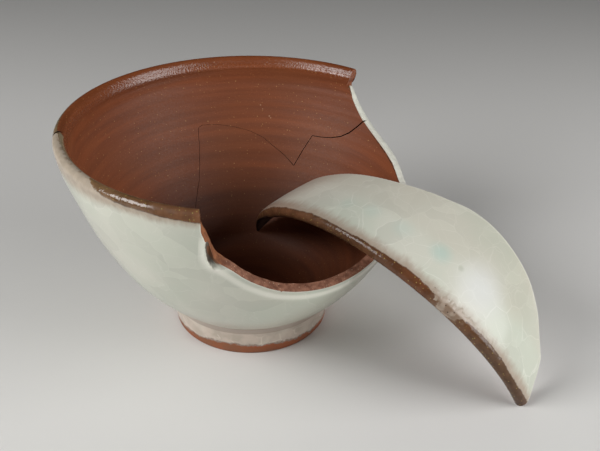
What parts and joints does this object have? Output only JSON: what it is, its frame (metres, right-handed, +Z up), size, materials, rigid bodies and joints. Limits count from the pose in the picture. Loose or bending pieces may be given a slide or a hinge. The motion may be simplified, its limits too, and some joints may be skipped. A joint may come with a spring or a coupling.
{
  "type": "broken bowl",
  "caption": "Thrown stoneware bowl on a foot ring, broken in two, with the crescent of rim that came away leaning in it.",
  "frame": {"origin": "middle of the pair's footprint, at the height of the table", "axes": "+Z up, out of the bowl's mouth; +X from the bowl's unbroken side towards the break and the leaning fragment"},
  "size_m": [0.1994, 0.1582, 0.0969],
  "materials": {
    "bowl_glaze": "pale grey-green crackle glaze outside, bare red-brown clay inside, olive-brown lip",
    "fragment_glaze": "pale grey-green crackle glaze with an olive-brown lip"
  },
  "bodies": {
    "root": {"bowl": "bowl_glaze", "rim_fragment": "fragment_glaze"}
  },
  "joints": []
}
